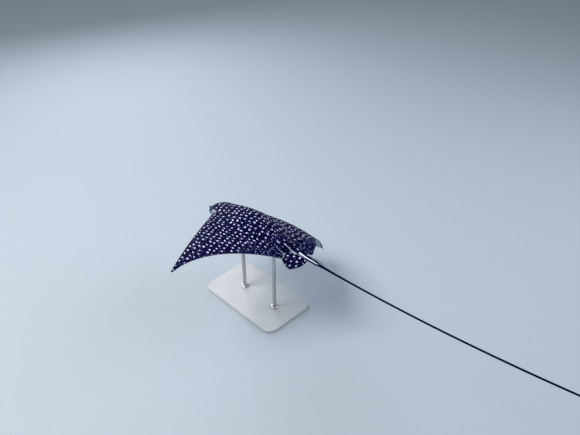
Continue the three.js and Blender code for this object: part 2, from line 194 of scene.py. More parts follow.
def bladeHalf(s, a, isBack):
    # half the thickness of a wing, most near its front edge and its root
    blade, c = ray["blade"], chordShare(s, a)
    section = np.sqrt(c) * (1 - c) ** blade["rear"] / blade["peak"]
    root = np.maximum(1 - s / 0.5, 0) ** blade["taper"]
    return (blade["thin"] + blade["thick"] * root) * section * (1 if isBack else blade["under"])


def halfHeight(s, a, isBack):
    # height of the skin off the middle of the body, on the back or on the belly
    joined = (a > ray["origin"]) & (a < ray["insertion"])
    grow = outlineGrow(a)
    reach = np.where(joined, domeSideAt(a), sideAt(a) * frontRound(a) * grow)
    power = np.where(joined, domePowerAt(a), ray["headPower"])
    shell = np.maximum(1 - (s / np.maximum(reach, 1e-6)) ** 2, 0) ** power
    head = (backAt(a) if isBack else bellyAt(a)) * frontRound(a) * shell
    shift = headMiddle(a) - midHeight(0.2, a)
    head = np.where((a < 0.1) & (head > 0), head + (shift if isBack else -shift) * shell, head)
    lobeShell = np.sqrt(np.maximum(1 - (s / np.maximum(snoutSide(a) * grow, 1e-6)) ** 2, 0))
    lobe = ray["snout"]["thick"] * rounded((a - ray["snoutFront"]) / ray["snout"]["blunt"]) * lobeShell
    lobe = lobe * (1 - smooth(*ray["snout"]["fades"], a))
    return join(join(head, lobe, 3), np.where(joined, bladeHalf(s, a, isBack), 0))


def bentLine(slopes):
    s = np.linspace(0, 0.5, 121)
    u = np.clip((s - ray["bendStart"]) / (0.5 - ray["bendStart"]), 0, 1)
    flick = np.sin(2 * math.pi * np.clip((s - ray["curlStart"]) / (0.5 - ray["curlStart"]), 0, 1))
    slope = slopes[0] * u + slopes[1] * u ** 2 + slopes[2] * u ** 3 + slopes[3] * flick
    middle = (slope[1:] + slope[:-1]) / 2
    step = s[1] - s[0]
    x = np.concatenate([[0], np.cumsum(np.cos(middle) * step)])
    z = -np.concatenate([[0], np.cumsum(np.sin(middle) * step)])
    return lambda out: np.stack([np.interp(out, s, values) for values in (x, z, slope)])


bentLines = {side: {edge: bentLine(slopes) for edge, slopes in edges.items()}
             for side, edges in ray["bend"].items()}


def toWorld(x, a, z):
    # from the ray's own level frame, in disc widths, to the banked place in metres
    c, s = math.cos(ray["bank"]), math.sin(ray["bank"])
    return np.stack([(x * c + z * s) * width, (ray["middle"] - a) * width,
                     (z * c - x * s) * width + ray["lift"]], -1)


def place(s, a, h):
    out = np.abs(s)
    twist = chordShare(out, a) * (1 - smooth(*ray["untwist"], out))
    bent = 0
    for side in (-1, 1):
        lead, trail = bentLines[side]["lead"](out), bentLines[side]["trail"](out)
        bent = bent + mix(lead, trail, twist) * ((s < 0) == (side < 0))
    # the right free rear tip is tucked in, forward and down, and the edge beside it reaches back
    tuck, fill = ray["tuck"], ray["fill"]
    tucked = smooth(*tuck["rows"], a) * window(s, *tuck["out"])
    filled = smooth(*fill["rows"], a) * window(s, *fill["out"])
    x = bent[0] + h * np.sin(bent[2]) - tuck["inward"] * tucked
    z = bent[1] + h * np.cos(bent[2]) - tuck["down"] * tucked
    a = a - tuck["forward"] * tucked + fill["back"] * filled
    return toWorld(np.where(s < 0, -x, x), a, z)


def layGrid(points, maps):
    # one grid from an operator, its vertices moved to the points of a surface
    rows, columns = points.shape[0] - 1, points.shape[1] - 1
    bm = bmesh.new()
    bmesh.ops.create_grid(bm, x_segments=columns, y_segments=rows, size=1)
    mesh = bpy.data.meshes.new("sheet")
    bm.to_mesh(mesh)
    bm.free()
    co = np.empty(len(mesh.vertices) * 3, np.float32)
    mesh.vertices.foreach_get("co", co)
    co = co.reshape(-1, 3)
    j = np.rint((co[:, 0] + 1) / 2 * columns).astype(int)
    i = np.rint((co[:, 1] + 1) / 2 * rows).astype(int)
    mesh.vertices.foreach_set("co", points[i, j].astype(np.float32).ravel())
    for name, values in maps.items():
        layer = mesh.attributes.new(name, "FLOAT_VECTOR", "POINT")
        layer.data.foreach_set("vector", values[i, j].astype(np.float32).ravel())
    return mesh


# how far in metres above the rim the white reaches, and over which rows: over the cheeks and
# the snout's tip, but under the wings' edges and the rear of the body
whiteLine = {
    "everywhere": 0.002, "cheek": 0.009, "cheekRows": (0.025, 0.055, 0.088, 0.118),
    "wing": -0.007, "wingRows": (0.108, 0.13), "tip": 0.012, "tipRows": (0.03, 0.05),
    "root": -0.014, "rootRows": (0.485, 0.51), "rootOut": (0.046, 0.052),
    "tail": -0.2, "tailRows": (0.53, 0.6), "farthest": 0.08,
}


def lineOffset(s, a):
    line = whiteLine
    cheek = line["cheek"] * window(a, *line["cheekRows"])
    wing = line["wing"] * smooth(*line["wingRows"], a)
    tip = line["tip"] * (1 - smooth(*line["tipRows"], a))
    root = line["root"] * smooth(*line["rootRows"], a) * (1 - smooth(*line["rootOut"], np.abs(s)))
    tail = line["tail"] * smooth(*line["tailRows"], a)
    return line["everywhere"] + cheek + tip + wing + root + tail


def ringShare(s, a):
    out, (sooner, within) = np.abs(s), ray["ringSooner"]
    rear = smooth(*ray["ringRows"], a + sooner * np.maximum(within - out, 0))
    return rear * (1 - smooth(*ray["ringOut"], out))


# every point of the skin carries three sets of numbers for its colours and its small shapes:
# chart: out and back on the map in metres, and the share of ringed spots
# tone: metres above the line between dark back and white belly, metres in from the rim, and a
# mark, 1 where plain, less where shade is painted into hollows and folds, and more where paler
# spot: out and back on the map (-1 back on a pelvic fin), and 1 on the back, 0 on the belly
def skinMaps(s, a, rim, isBack):
    one = np.ones_like(s)
    line = (1 if isBack else -1) * np.minimum(rim, whiteLine["farthest"]) - lineOffset(s, a)
    return {"chart": np.stack([s * width, a * width, ringShare(s, a)], -1),
            "tone": np.stack([line, rim, one], -1),
            "spot": np.stack([s, a, one * isBack], -1)}


body = {
    "halfColumns": 38, "wingColumns": 44, "wingCrowding": 1.18, "wingTip": (0.985, 0.992, 0.997, 1),
    "tipStart": 0.975, "edge": 0.0011,
    "headRow": 0.0017, "neckRow": 0.002, "gillRow": 0.003, "trunkRow": 0.0058, "rearRow": 0.0035,
    "neckEnd": 0.145, "gillEnd": 0.27, "tipLength": 0.012,
    "besideFront": (0, 0.0004, 0.0011, 0.0022), "besideRear": (0.0035, 0.002, 0.001, 0.0004, 0),
}


def bodyRows():
    # stations crowd at the snout tip, the head and the wing's edges
    tip = ray["snoutFront"] + body["tipLength"] * np.linspace(0, 1, 9) ** 2
    head = np.arange(tip[-1] + 0.0013, ray["origin"] - 0.0007, body["headRow"])
    lead = ray["origin"] + np.array(body["besideFront"])
    neck = np.arange(lead[-1] + 0.0016, body["neckEnd"], body["neckRow"])
    gills = np.arange(neck[-1] + 0.0019, body["gillEnd"], body["gillRow"])
    trunk = np.arange(gills[-1] + 0.004, ray["insertion"] - 0.006, body["trunkRow"])
    rear = ray["insertion"] - np.array(body["besideRear"])
    behind = np.arange(ray["insertion"] + 0.003, ray["trunkEnd"] + 0.001, body["rearRow"])
    return np.concatenate([tip, head, lead, neck, gills, trunk, rear, behind])


def sectionPlaces(a, isBack, count):
    # places across the body at even steps along its surface, and the length left to the rim
    t = np.linspace(0, 1, 260)
    s = np.sin(t * math.pi / 2) * bodySide(a)
    h = halfHeight(s, np.full_like(s, a), isBack)
    length = np.concatenate([[0], np.cumsum(np.hypot(np.diff(s), np.diff(h)))])
    if length[-1] <= 0:
        return np.zeros(count + 1), np.zeros(count + 1)
    even = np.linspace(0, length[-1], count + 1)
    return np.interp(even, length, s), (length[-1] - even)


def bodySheet(rows, isBack):
    count = body["halfColumns"]
    s = np.zeros((len(rows), count + 1))
    rim = np.zeros_like(s)
    for i, a in enumerate(rows):
        s[i], rim[i] = sectionPlaces(a, isBack, count)
    a = np.repeat(rows[:, None], count + 1, 1)
    joined = (a > ray["origin"]) & (a < ray["insertion"])
    near = np.where(a < ray["middle"], a - ray["origin"], ray["insertion"] - a)
    corner = np.where(a < ray["middle"], sideAt(ray["origin"]), sideAt(ray["insertion"]))
    rim = np.where(joined, np.hypot(np.maximum(corner - s, 0), np.maximum(near, 0)), rim) * width
    h = halfHeight(s, a, isBack)
    h[:, -1] = np.where(joined[:, -1], h[:, -1], 0)
    s = np.concatenate([-s[:, :0:-1], s], 1)
    a, h, rim = (np.concatenate([v[:, :0:-1], v], 1) for v in (a, h, rim))
    lift = midHeight(np.abs(s), a) + (h if isBack else -h)
    points = place(s, a, lift)
    return layGrid(points, skinMaps(s, a, rim, isBack))


def wingSheet(rows, side, isBack):
    a0, a1 = ray["origin"], ray["insertion"]
    v = ((rows - a0) / (a1 - a0))[:, None]
    t = np.linspace(0, 1, body["wingColumns"])
    u = np.concatenate([body["tipStart"] * t ** body["wingCrowding"], body["wingTip"]])[None, :]
    share = ray["innerShare"]
    lead = bezier(ray["lead"], u)
    inner = bezier(ray["inner"], np.clip(u / share, 0, 1))
    outer = bezier(ray["trail"], np.clip((u - share) / (1 - share), 0, 1))
    trail = np.where((u < share)[..., None], inner, outer)
    bulge = bodySide(rows)[:, None] - mix(bodySide(np.array(a0)), bodySide(np.array(a1)), v)
    s = mix(lead[..., 0], trail[..., 0], v) + bulge * (1 - u) ** 4
    a = mix(lead[..., 1], trail[..., 1], v)
    a[:, 0] = rows
    s[:, 0] = bodySide(rows)
    joined = halfHeight(s, np.clip(a, a0 + 1e-5, a1 - 1e-5), isBack)
    h = np.where(a > a1, bladeHalf(s, a, isBack), joined)
    edge = rounded(np.minimum(v, 1 - v) * 90) * np.clip(u / 0.02, 0, 1) * body["edge"]
    h = join(h, edge, 4) * rounded((1 - u) / 0.02)
    h[:, 0] = halfHeight(s[:, 0], rows, isBack)
    h[0, :] = 0
    h[-1, :] = 0
    rim = np.minimum(v, 1 - v) * (trail[..., 1] - lead[..., 1]) * width
    rim = np.minimum(rim, (1 - u) * 0.5 * width)
    lift = midHeight(s, a) + (h if isBack else -h)
    signed = s * side
    points = place(signed, a, lift)
    return layGrid(points, skinMaps(signed, a, rim, isBack))


tail = {
    "length": 1.9, "right": (0.0044, 0.05), "up": (0.0085, 0.002, 0.0367), "sides": 48,
    "rootRow": 0.004, "rootEnd": 0.1, "row": 0.0085, "tip": 0.004, "flatness": 0.87, "rim": 0.05,
    # the pale flank: its angle at the root and further back, half width, and where it changes
    "flank": (0.86, 1.08), "flankTurn": (0, 0.06), "flankHalf": 0.27, "flankEnd": (0.085, 0.12),
    "halfWidth": [(0, 0.0152), (0.04, 0.0115), (0.09, 0.0072), (0.15, 0.0048), (0.3, 0.0039),
                  (1.2, 0.0034), (1.9, 0.0012)],
}
tailWidthAt = profile(tail["halfWidth"])


def tailFrame(w):
    # midline of the tail and its sideways and upward directions, in the ray's level frame
    def at(q):
        return np.stack([tail["right"][0] * q + tail["right"][1] * q * q,
                         -(ray["trunkEnd"] + q),
                         tail["up"][0] + tail["up"][1] * q + tail["up"][2] * q * q], -1)
    back = at(w + 0.002) - at(w - 0.002)
    back /= np.linalg.norm(back, axis=-1, keepdims=True)
    right = np.cross(np.array([0, 0, 1.0]), back)
    right /= np.linalg.norm(right, axis=-1, keepdims=True)
    return at(w), right, np.cross(back, right)


def tailPoint(w, across, up):
    centre, right, upward = tailFrame(w)
    p = centre + right * across[..., None] + upward * up[..., None]
    return toWorld(p[..., 0], -p[..., 1], p[..., 2])


def tailSheet(ws, count, isBack):
    # the back or belly half of the tail, as a grid of half rings
    angle = np.linspace(-math.pi / 2, math.pi / 2, count + 1)[None, :]
    w = np.repeat(ws[:, None], count + 1, 1)
    radius = tailWidthAt(w)
    tall = mix(tail["flatness"], 1, np.clip(w / tail["rootEnd"], 0, 1)) * (1 if isBack else -1)
    close = rounded((tail["length"] - w) / tail["tip"])
    across = radius * close * np.sin(angle)
    up = radius * close * np.cos(angle) * tall
    points = tailPoint(w, across, up)
    maps = skinMaps(across, w + ray["trunkEnd"], np.full_like(w, tail["rim"]), isBack)
    middle = mix(*tail["flank"], smooth(*tail["flankTurn"], w))
    flank = bump(np.abs(angle) - middle, tail["flankHalf"]) * isBack
    maps["tone"][..., 2] = 1 + flank * (1 - smooth(*tail["flankEnd"], w))
    return layGrid(points, maps)


pelvic = {
    "hingeOut": 0.03, "hingeHeight": -0.006, "droop": {-1: 0.52, 1: 0.64}, "trail": {-1: 0, 1: 0.013},
    "front": [(0.012, 0.498), (0.055, 0.505), (0.078, 0.55), (0.087, 0.59)],
    "rear": [(0.012, 0.63), (0.034, 0.638), (0.066, 0.627), (0.088, 0.602)],
    "rows": 40, "columns": 30, "thick": 0.0068, "edge": 0.0009, "aboveLine": 0.018, "rings": 0.35,
    "fullness": 2.6, "thinning": 0.75, "rounding": 0.03,
}


def pelvicSheet(side, isBack):
    v = (1 - np.cos(np.linspace(0, 1, pelvic["rows"] + 1)[:, None] * math.pi)) / 2
    u = np.sin(np.linspace(0, 1, pelvic["columns"] + 1) * math.pi / 2)[None, :]
    front, rear = bezier(pelvic["front"], u), bezier(pelvic["rear"], u)
    out, a = mix(front[..., 0], rear[..., 0], v), mix(front[..., 1], rear[..., 1], v)
    section = np.sqrt(v) * (1 - v) * pelvic["fullness"]
    edge = pelvic["edge"] * rounded(np.minimum(v, 1 - v) * 60)
    h = join(pelvic["thick"] * section * (1 - pelvic["thinning"] * u), edge, 4)
    h = h * rounded((1 - u) / pelvic["rounding"])
    h[0, :] = 0
    h[-1, :] = 0
    h = h if isBack else -h
    away = out - pelvic["hingeOut"]
    droop = pelvic["droop"][side]
    x = pelvic["hingeOut"] + away * math.cos(droop) + h * math.sin(droop)
    z = pelvic["hingeHeight"] - away * math.sin(droop) + h * math.cos(droop)
    points = toWorld(side * x, a + pelvic["trail"][side], z)
    rim = np.minimum(np.minimum(v, 1 - v) * (rear[..., 1] - front[..., 1]), (1 - u) * 0.08) * width
    maps = skinMaps(side * out, a, rim, isBack)
    maps["tone"][..., 0] = (1 if isBack else -1) * rim + pelvic["aboveLine"]
    maps["chart"][..., 2] = pelvic["rings"]
    maps["spot"][..., 1] = -1
    return layGrid(points, maps)


def weld(meshes):
    # several grids become one closed shell that faces outwards
    bm = bmesh.new()
    for mesh in meshes:
        bm.from_mesh(mesh)
        bpy.data.meshes.remove(mesh)
    bmesh.ops.remove_doubles(bm, verts=bm.verts, dist=2e-5)
    bmesh.ops.dissolve_degenerate(bm, edges=bm.edges, dist=1e-6)
    bmesh.ops.recalc_face_normals(bm, faces=bm.faces)
    return bm


def toObject(bm, name):
    mesh = bpy.data.meshes.new(name)
    bm.to_mesh(mesh)
    bm.free()
    piece = bpy.data.objects.new(name, mesh)
    bpy.context.scene.collection.objects.link(piece)
    return piece


def shadeSmooth(piece, creaseAngle=None):
    piece.data.polygons.foreach_set("use_smooth", np.ones(len(piece.data.polygons), bool))
    if creaseAngle:
        piece.data.set_sharp_from_angle(angle=math.radians(creaseAngle))


def makePiece(bm, name, material, creaseAngle=None):
    bmesh.ops.recalc_face_normals(bm, faces=bm.faces)
    piece = toObject(bm, name)
    shadeSmooth(piece, creaseAngle)
    piece.data.materials.append(material)
    return piece


def openEdges(bm):
    return [edge for edge in bm.edges if len(edge.link_faces) != 2]


rows = bodyRows()
wingRows = rows[(rows >= ray["origin"] - 1e-9) & (rows <= ray["insertion"] + 1e-9)]
sheets = [bodySheet(rows, isBack) for isBack in (True, False)]
sheets += [wingSheet(wingRows, side, isBack) for side in (-1, 1) for isBack in (True, False)]
behind = rows[-1] - ray["trunkEnd"] + 0.006
tailRows = np.concatenate([
    behind + np.arange(0, tail["rootEnd"], tail["rootRow"]),
    np.arange(behind + tail["rootEnd"], tail["length"] - 1.5 * tail["tip"], tail["row"]),
    tail["length"] - tail["tip"] * np.linspace(1, 0, 7) ** 2])
sheets += [tailSheet(tailRows, tail["sides"] // 2, isBack) for isBack in (True, False)]
skinMesh = weld(sheets)
bmesh.ops.bridge_loops(skinMesh, edges=openEdges(skinMesh))
bmesh.ops.recalc_face_normals(skinMesh, faces=skinMesh.faces)
print("body shell", len(skinMesh.verts), "open", len(openEdges(skinMesh)))


# small shapes of the head and belly, pressed into or raised from the skin: places, and how far
# the mouth, curtain and gills run, are on the map, and depths, heights and widths are in metres
head = {
    "eye": {"s": 0.061, "a": 0.0855, "h": 0.005, "radius": 0.0137, "look": (0.95, 0.28, 0.12),
            "squash": 0.86, "facing": (-0.012, 0.004), "outside": 0.03},
    "lid": {"proud": 0.0016, "at": 1.02, "half": 0.0028, "shade": 0.7, "shadeAt": 0.95, "shadeHalf": 0.0045},
    "socket": {"deep": 0.0035, "edge": (0.78, 0.98)},
    "brow": {"proud": 0.0045, "at": 1.05, "half": (0.008, 0.024)},
    "spiracle": {"a": 0.117, "long": 0.017, "tall": 0.0075, "deep": 0.012, "above": 0.0055,
                 "lip": 0.0018, "lipAt": 1.12, "lipHalf": 0.16, "edge": (0.55, 1.0), "facing": (-0.02, 0.0)},
    "streak": {"back": -0.15, "up": 1.25, "lean": 0.4, "half": (1.5, 0.42), "strength": 0.75},
    "mouth": {"a": 0.094, "half": 0.041, "bow": 0.006, "deep": 0.007, "cut": 0.0034, "lip": 0.0034,
              "lipAt": 0.0095, "lipHalf": 0.0065, "shade": 0.9, "shadeHalf": 0.003},
    "nostril": {"s": 0.021, "a": 0.068, "deep": 0.006, "lean": 0.5, "half": (0.0045, 0.0105),
                "edge": (0.4, 1.0), "shade": 0.9},
    "curtain": {"a": 0.082, "half": 0.026, "proud": 0.004, "notch": 0.008, "wave": 0.002, "waves": 9,
                "fold": (-0.026, -0.01, -0.002, 0.0015), "shade": 0.7, "shadeAt": 0.001,
                "shadeHalf": 0.0022},
    # where the mesh is cut finer: on the belly only or not, rows, and places out
    "finer": [(False, (0.062, 0.14), (0.04, 0.1)), (True, (0.045, 0.112), (-1, 0.046)),
              (True, (0.143, 0.248), (0.024, 0.072))],
}
gills = {
    "first": 0.152, "last": 0.238, "count": 5, "inner": (0.055, 0.039), "half": 0.0115,
    "longest": 0.3, "shortening": 0.18, "bow": (0.0035, 0.0016), "deep": 0.0032, "cut": 0.0019,
    "lip": 0.0012, "lipAt": -0.006, "lipHalf": 0.0045, "shade": 0.85, "shadeHalf": 0.0015,
}
vent = {"a": 0.497, "half": (0.0027, 0.017), "deep": 0.0035, "edge": (0.3, 1), "shade": 0.7}
wingSkin = {
    "ridge": 0.00035, "ridgeStep": 0.0125, "ridgeLean": 0.22, "ridgeOut": (0.13, 0.2),
    "ridgeRim": (0.004, 0.02), "paleEdge": 0.6, "paleRim": 0.006, "paleHalf": 0.0035,
    "paleRows": (0.505, 0.535), "paleOut": (0.048, 0.056, 0.1, 0.112),
}


def readVerts(bm, name=None):
    if name is None:
        return np.array([v.co[:] for v in bm.verts])
    layer = bm.verts.layers.float_vector[name]
    return np.array([v[layer][:] for v in bm.verts])


def relax(bm, verts, rounds):
    for _ in range(rounds):
        bmesh.ops.smooth_vert(bm, verts=verts, factor=0.5, use_axis_x=True, use_axis_y=True,
                              use_axis_z=True)


def refine(bm, near):
    # cut the mesh finer where a small shape needs it, then round off the cut faces
    edges = [e for e in bm.edges if all(near[v.index] for v in e.verts)]
    result = bmesh.ops.subdivide_edges(bm, edges=edges, cuts=1, use_grid_fill=True)
    relax(bm, [g for g in result["geom_inner"] if isinstance(g, bmesh.types.BMVert)], 2)
    bm.verts.index_update()


def eyeAxes(side):
    # middle of the eyeball, the way it looks, and the ways up and back from there
    eye = head["eye"]
    centre = place(np.array(side * eye["s"]), np.array(eye["a"]), np.array(eye["h"]))

    def turn(x, y, z):
        v = toWorld(np.array(x), np.array(-y), np.array(z)) - toWorld(*np.zeros(3))
        return v / np.linalg.norm(v)
    aside, ahead, above = eye["look"]
    look = turn(side * aside, ahead, above)
    back = turn(0.0, -1.0, 0.0)
    back = back - look * (back @ look)
    back /= np.linalg.norm(back)
    up = np.cross(back, look) * -side
    return centre, look, up, back


def shapeSkin(bm):
    bm.verts.ensure_lookup_table()
    spot = readVerts(bm, "spot")
    s, a, below = spot[:, 0], spot[:, 1], spot[:, 2] < 0.5
    out = np.abs(s)
    near = np.zeros(len(s), bool)
    for bellyOnly, rows, across in head["finer"]:
        inside = (a > rows[0]) & (a < rows[1]) & (out > across[0]) & (out < across[1])
        near |= inside & (below | (not bellyOnly))
    refine(bm, near)
    bm.normal_update()
    co, normal = readVerts(bm), np.array([v.normal[:] for v in bm.verts])
    spot, tone = readVerts(bm, "spot"), readVerts(bm, "tone")
    s, a, below = spot[:, 0], spot[:, 1], spot[:, 2] < 0.5
    out = np.abs(s)
    # shade is painted shade: it darkens the skin in the lid's fold round the eye, in the spiracles, along the
    # mouth, the curtain's edge and the gill slits, and in the nostrils and the vent
    press, shade, pale = np.zeros((3, len(s)))
    eye, lid, socket, brow, spiracle, streak, mouth, curtain, nostril = (head[name] for name in (
        "eye", "lid", "socket", "brow", "spiracle", "streak", "mouth", "curtain", "nostril"))
    r = eye["radius"]

    def pressHole(x, y, shape):
        # a small hole, with painted shade inside it
        ring = np.hypot(x * width / shape["half"][0], y * width / shape["half"][1])
        hole = below * (1 - smooth(*shape["edge"], ring))
        press[:] -= shape["deep"] * hole
        shade[:] += shape["shade"] * hole

    def pressCut(x, shape, inside):
        # a narrow cut with a raised lip beside it, and painted shade along the cut
        press[:] -= shape["deep"] * bump(x, shape["cut"]) * inside
        press[:] += shape["lip"] * bump(x - shape["lipAt"], shape["lipHalf"]) * inside
        shade[:] += shape["shade"] * bump(x, shape["shadeHalf"]) * inside
    for side in (-1, 1):
        # eyes: a socket, a lid fold round it and a brow above
        centre, look, up, back = eyeAxes(side)
        d = co - centre
        forward, high, rear = d @ look, d @ up, d @ back
        flat = np.hypot(high / eye["squash"], rear)
        facing = smooth(*eye["facing"], forward) * (out > eye["outside"])
        press += facing * lid["proud"] * bump(flat - r * lid["at"], lid["half"])
        press -= facing * socket["deep"] * (1 - smooth(r * socket["edge"][0], r * socket["edge"][1], flat))
        ridge = bump(high - r * brow["at"], brow["half"][0]) * bump(rear, brow["half"][1])
        press += facing * brow["proud"] * ridge
        # painted shade along the lid's fold
        shade += facing * lid["shade"] * bump(flat - r * lid["shadeAt"], lid["shadeHalf"])
        # spiracle: a long lipped opening behind the eye
        along = (a - spiracle["a"]) * width / spiracle["long"]
        across = (high - spiracle["above"]) / spiracle["tall"]
        ring = np.hypot(along, across)
        facing = smooth(*spiracle["facing"], forward) * (side * s > eye["outside"])
        hole = (1 - smooth(*spiracle["edge"], ring)) * facing
        press -= spiracle["deep"] * hole
        press += spiracle["lip"] * bump(ring - spiracle["lipAt"], spiracle["lipHalf"]) * facing
        # painted shade inside the spiracle
        shade += hole
        # a pale streak from below the eye back over the spiracle
        distance = np.hypot((along - streak["back"]) / streak["half"][0],
                            (across - streak["up"] + streak["lean"] * along) / streak["half"][1])
        pale += streak["strength"] * bump(distance, 1.0) * facing
        # nostril, on the belly side
        back = a - nostril["a"]
        pressHole(side * s - nostril["s"] - back * nostril["lean"], back, nostril)
    # mouth and nasal curtain, on the belly side
    reach = np.clip(1 - (out / mouth["half"]) ** 2, 0, 1) ** 0.5 * below
    lip = (a - mouth["a"] - mouth["bow"] * (out / mouth["half"]) ** 2) * width
    pressCut(lip, mouth, reach)
    edge = (a - curtain["a"]) * width + curtain["notch"] * bump(out * width, curtain["notch"])
    edge = edge - curtain["wave"] * np.cos(out / curtain["half"] * curtain["waves"])
    wide = np.clip(1 - (out / curtain["half"]) ** 6, 0, 1) * below
    press += curtain["proud"] * wide * window(edge, *curtain["fold"])
    # painted shade under the curtain's edge
    shade += curtain["shade"] * bump(edge - curtain["shadeAt"], curtain["shadeHalf"]) * wide
    # gill slits, each a short curved cut with a raised flap in front of it
    for t in np.linspace(0, 1, gills["count"]):
        half = gills["half"] * (1 - gills["shortening"] * abs(t - gills["longest"]))
        span = (out - mix(*gills["inner"], t)) / half
        bow = gills["bow"][0] * span ** 2 - gills["bow"][1] * span
        cut = (a - mix(gills["first"], gills["last"], t) - bow) * width
        pressCut(cut, gills, below * np.clip(1 - span ** 2, 0, 1) ** 0.4)
    pressHole(s, a - vent["a"], vent)
    # low ridges where the wing's rays run, and a pale edge on the wings' free rear tips
    rays = np.sin((a + wingSkin["ridgeLean"] * out) * 2 * math.pi / wingSkin["ridgeStep"])
    strong = smooth(*wingSkin["ridgeOut"], out) * smooth(*wingSkin["ridgeRim"], tone[:, 1])
    press += wingSkin["ridge"] * rays * strong
    edge = ~below * bump(tone[:, 1] - wingSkin["paleRim"], wingSkin["paleHalf"])
    edge = edge * smooth(*wingSkin["paleRows"], a) * window(out, *wingSkin["paleOut"])
    pale += wingSkin["paleEdge"] * edge
    co = co + normal * press[:, None]
    # the mark is raised where pale is painted and lowered by the painted shade
    mark = tone[:, 2] + np.clip(pale, 0, 1) - np.clip(shade, 0, 1)
    layer = bm.verts.layers.float_vector["tone"]
    for vert, point, value in zip(bm.verts, co, mark):
        vert.co = point
        vert[layer][2] = value


shapeSkin(skinMesh)
skin = toObject(skinMesh, "skin")
print("head, gills and vent shaped")


# pelvic fins and the little dorsal fin are joined on, and the joints are filled round
dorsal = {"from": 0.006, "to": 0.038, "height": 0.019, "root": 0.007, "thick": 0.0019, "lean": 0.0138,
          "narrowing": 0.72}


def dorsalSheet(side):
    u = np.linspace(0, 1, 25)[None, :]
    v = np.sin(np.linspace(0, 1, 17) * math.pi / 2)[:, None]
    long = (dorsal["to"] - dorsal["from"]) * (1 - dorsal["narrowing"] * v ** 1.6)
    w = dorsal["from"] + dorsal["lean"] * v ** 1.4 + long * u
    up = mix(dorsal["root"], dorsal["height"], v) * np.ones_like(u)
    thick = side * dorsal["thick"] * rounded(4 * u * (1 - u) * (1 - v))
    points = tailPoint(w, thick, up)
    return layGrid(points, skinMaps(thick, w + ray["trunkEnd"], np.full_like(w, tail["rim"]), True))


def unite(piece, sheets):
    # close the root of a fin and join the fin to the skin
    bm = weld(sheets)
    bmesh.ops.holes_fill(bm, edges=openEdges(bm), sides=0)
    bmesh.ops.recalc_face_normals(bm, faces=bm.faces)
    other = toObject(bm, "fin")
    modifier = piece.modifiers.new("join", "BOOLEAN")
    modifier.operation = "UNION"
    modifier.solver = "MANIFOLD"
    modifier.object = other
    view = bpy.context.evaluated_depsgraph_get()
    mesh = bpy.data.meshes.new_from_object(piece.evaluated_get(view))
    piece.modifiers.clear()
    old = piece.data
    piece.data = mesh
    bpy.data.meshes.remove(old)
    bpy.data.objects.remove(other)


for side in (-1, 1):
    unite(skin, [pelvicSheet(side, isBack) for isBack in (True, False)])
unite(skin, [dorsalSheet(side) for side in (-1, 1)])
skinMesh = bmesh.new()
skinMesh.from_mesh(skin.data)
print("fins joined", len(skinMesh.verts), "open", len(openEdges(skinMesh)))


def searchTree(verts):
    tree = KDTree(len(verts))
    for i, vert in enumerate(verts):
        tree.insert(vert.co, i)
    tree.balance()
    return tree


def fillSeams(bm, reach):
    # new points on a joint take their numbers from the nearest old point, and the joint is rounded
    layers = [bm.verts.layers.float_vector[name] for name in ("chart", "tone", "spot")]
    old = [v for v in bm.verts if v[layers[2]].length > 0]
    fresh = [v for v in bm.verts if v[layers[2]].length == 0]
    nearOld, nearSeam = searchTree(old), searchTree(fresh)
    for vert in fresh:
        near = old[nearOld.find(vert.co)[1]]
        for layer in layers:
            vert[layer] = near[layer]
    relax(bm, [v for v in bm.verts if nearSeam.find(v.co)[2] < reach], 4)


fillSeams(skinMesh, 0.007)
skinMesh.to_mesh(skin.data)
skinMesh.free()
shadeSmooth(skin)
print("skin finished", len(skin.data.vertices))


# small helpers for material nodes
def feed(node, inputs):
    for key, value in inputs.items():
        if isinstance(value, bpy.types.NodeSocket):
            node.id_data.links.new(value, node.inputs[key])
        else:
            node.inputs[key].default_value = value


def startNode(tree, kind, **settings):
    node = tree.nodes.new("ShaderNode" + kind)
    for key, value in settings.items():
        setattr(node, key, value)
    return node


def addNode(kind, inputs, **settings):
    # in the tree that its first linked input belongs to
    tree = next(value.id_data for value in inputs.values() if isinstance(value, bpy.types.NodeSocket))
    node = startNode(tree, kind, **settings)
    feed(node, inputs)
    return node.outputs


def calc(operation, *values):
    return addNode("Math", dict(enumerate(values)), operation=operation)[0]


def times(product, *others):
    for other in others:
        product = calc("MULTIPLY", product, other)
    return product


def invert(value):
    return calc("SUBTRACT", 1.0, value)


def roughen(value, grain, amount):
    return calc("ADD", value, times(calc("SUBTRACT", grain, 0.5), amount))


def stepUp(value, low, high, start=0.0, end=1.0):
    inputs = {0: value, 1: low, 2: high, 3: start, 4: end}
    return addNode("MapRange", inputs, interpolation_type="SMOOTHSTEP")[0]


def mixColour(factor, one, other):
    return addNode("Mix", {0: factor, 6: one, 7: other}, data_type="RGBA")[2]


def mixNumber(factor, one, other):
    return addNode("Mix", {0: factor, 2: one, 3: other}, data_type="FLOAT")[0]


def noise(vector, scale, detail=3.0, roughness=0.5, output=0):
    return addNode("TexNoise", {"Vector": vector, "Scale": scale, "Detail": detail,
                                      "Roughness": roughness})[output]


def vectorMath(operation, *values, output=0):
    return addNode("VectorMath", dict(enumerate(values)), operation=operation)[output]


def pair(x, y):
    return addNode("CombineXYZ", {0: x, 1: y, 2: 0.0})[0]


def objectPlace(tree):
    return startNode(tree, "TexCoord").outputs["Object"]


def relief(height, strength, distance):
    return addNode("Bump", {"Height": height, "Strength": strength, "Distance": distance})[0]


def attribute(tree, name):
    vector = startNode(tree, "Attribute", attribute_name=name).outputs["Vector"]
    return addNode("SeparateXYZ", {0: vector})


def newMaterial(name):
    material = bpy.data.materials.new(name)
    material.use_nodes = True
    tree = material.node_tree
    tree.nodes.clear()
    shader = startNode(tree, "BsdfPrincipled")
    addNode("OutputMaterial", {0: shader.outputs[0]})
    return material, tree, shader


